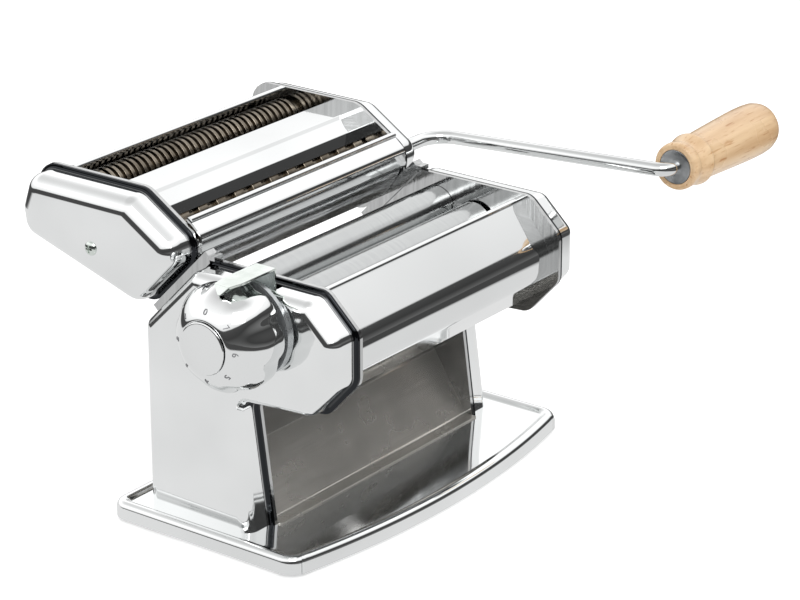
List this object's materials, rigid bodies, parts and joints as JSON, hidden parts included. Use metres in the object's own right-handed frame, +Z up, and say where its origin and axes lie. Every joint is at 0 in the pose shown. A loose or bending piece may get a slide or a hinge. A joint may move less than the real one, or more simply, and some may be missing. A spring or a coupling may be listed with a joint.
{
  "type": "pasta machine",
  "caption": "Hand cranked pasta machine with two smooth rollers, a setting knob, a clip-on cutter unit and a removable crank.",
  "frame": {"origin": "the surface the feet stand on, under the middle of the machine", "axes": "+X from the setting knob towards the crank, along the rollers; +Y from the front to the rear; +Z up"},
  "size_m": [0.3267, 0.2261, 0.1517],
  "materials": {
    "mirror_steel": "polished",
    "brushed_steel": "brushed",
    "roller_metal": "satin",
    "cutter_metal": "satin",
    "zinc_strip": "zinc plated",
    "dark_steel": "plain",
    "bronze": "plain",
    "dial_grey": "satin",
    "nylon_comb": "matte",
    "beech": "varnished",
    "rubber": "matte"
  },
  "bodies": {
    "stand": {"base_plate": "mirror_steel", "rubber_feet": "rubber", "base_screws": "zinc_strip", "left_side_plate": "brushed_steel", "right_side_plate": "brushed_steel", "left_side_cover": "mirror_steel", "right_side_cover": "mirror_steel", "front_tie_rod": "zinc_strip", "rear_tie_rod": "zinc_strip", "lower_tie_rod": "zinc_strip", "tie_rod_nuts": "zinc_strip", "front_hood": "mirror_steel", "dough_chute": "mirror_steel", "left_roller_guard": "brushed_steel", "right_roller_guard": "brushed_steel", "front_scraper": "dark_steel", "rear_scraper": "dark_steel", "rear_roller_bushes": "bronze", "eccentric_shaft_bushes": "bronze", "dial_plate": "dial_grey", "pointer_bracket": "zinc_strip"},
    "rear_roller": {"rear_smooth_roller": "roller_metal", "rear_roller_gear": "dark_steel"},
    "regulator_shaft": {"eccentric_shaft": "dark_steel", "knob_spring": "dark_steel"},
    "front_roller_carrier": {"front_roller_bushes": "bronze"},
    "front_roller": {"front_smooth_roller": "roller_metal", "front_roller_gear": "dark_steel"},
    "knob": {"regulator_knob": "mirror_steel", "knob_face_disc": "mirror_steel", "knob_index_pin": "dark_steel"},
    "cutter_unit": {"cutter_left_plate": "brushed_steel", "cutter_right_plate": "brushed_steel", "cutter_left_cover": "mirror_steel", "cutter_right_cover": "mirror_steel", "cutter_middle_cover": "mirror_steel", "cutter_front_cover": "mirror_steel", "cutter_rear_cover": "mirror_steel", "left_rail_guide": "brushed_steel", "right_rail_guide": "brushed_steel", "cutter_middle_rod": "zinc_strip", "cutter_rear_rod": "zinc_strip", "wide_drive_comb": "nylon_comb", "wide_follower_comb": "nylon_comb", "fine_drive_comb": "nylon_comb", "fine_follower_comb": "nylon_comb", "cutter_cover_screws": "zinc_strip"},
    "wide_drive_cutter": {"wide_cutter_drive": "cutter_metal", "wide_drive_gear": "dark_steel"},
    "wide_follower_cutter": {"wide_cutter_follower": "cutter_metal", "wide_follower_gear": "dark_steel"},
    "fine_drive_cutter": {"fine_cutter_drive": "cutter_metal", "fine_drive_gear": "dark_steel"},
    "fine_follower_cutter": {"fine_cutter_follower": "cutter_metal", "fine_follower_gear": "dark_steel"},
    "crank": {"crank_rod": "mirror_steel", "crank_washer": "zinc_strip"},
    "grip": {"crank_grip": "beech"}
  },
  "joints": [
    {"name": "cutter_slide", "type": "slide", "parent": "stand", "child": "cutter_unit", "axis": [0, -0.6947, 0.7193], "range_m": [0, 0.045]},
    {"name": "roller_drive", "type": "hinge", "parent": "stand", "child": "rear_roller", "pos_m": [0, 0.00619, 0.11002], "axis": [1, 0, 0], "continuous": true},
    {"name": "regulator_turn", "type": "hinge", "parent": "stand", "child": "regulator_shaft", "pos_m": [0, -0.0153, 0.107], "axis": [1, 0, 0], "range_deg": [0, 180]},
    {"name": "bush_turn", "type": "hinge", "parent": "regulator_shaft", "child": "front_roller_carrier", "pos_m": [0, -0.01639, 0.10685], "axis": [1, 0, 0], "range_deg": [-180, 0]},
    {"name": "front_roller_spin", "type": "hinge", "parent": "front_roller_carrier", "child": "front_roller", "pos_m": [0, -0.01639, 0.10685], "axis": [1, 0, 0], "continuous": true},
    {"name": "knob_pull", "type": "slide", "parent": "regulator_shaft", "child": "knob", "axis": [-1, 0, 0], "range_m": [0, 0.002], "stiffness_N_per_m": 1000, "springref_m": -0.002, "deforming": ["knob_spring"]},
    {"name": "wide_drive", "type": "hinge", "parent": "cutter_unit", "child": "wide_drive_cutter", "pos_m": [0, 0.03979, 0.127], "axis": [1, 0, 0], "continuous": true},
    {"name": "wide_follower", "type": "hinge", "parent": "cutter_unit", "child": "wide_follower_cutter", "pos_m": [0, 0.05573, 0.12839], "axis": [1, 0, 0], "continuous": true},
    {"name": "fine_drive", "type": "hinge", "parent": "cutter_unit", "child": "fine_drive_cutter", "pos_m": [0, 0.08139, 0.1306], "axis": [1, 0, 0], "continuous": true},
    {"name": "fine_follower", "type": "hinge", "parent": "cutter_unit", "child": "fine_follower_cutter", "pos_m": [0, 0.09552, 0.13811], "axis": [1, 0, 0], "continuous": true},
    {"name": "crank_pull", "type": "slide", "parent": "wide_drive_cutter", "child": "crank", "axis": [1, 0, 0], "range_m": [0, 0.03]},
    {"name": "grip_spin", "type": "hinge", "parent": "crank", "child": "grip", "pos_m": [0.165, -0.09274, 0.1355], "axis": [1, 0, 0], "continuous": true}
  ],
  "couplings": [
    {"joint": "bush_turn", "follows": "regulator_turn", "ratio": -1},
    {"joint": "front_roller_spin", "follows": "roller_drive", "ratio": -1},
    {"joint": "wide_follower", "follows": "wide_drive", "ratio": -1},
    {"joint": "fine_follower", "follows": "fine_drive", "ratio": -1}
  ]
}
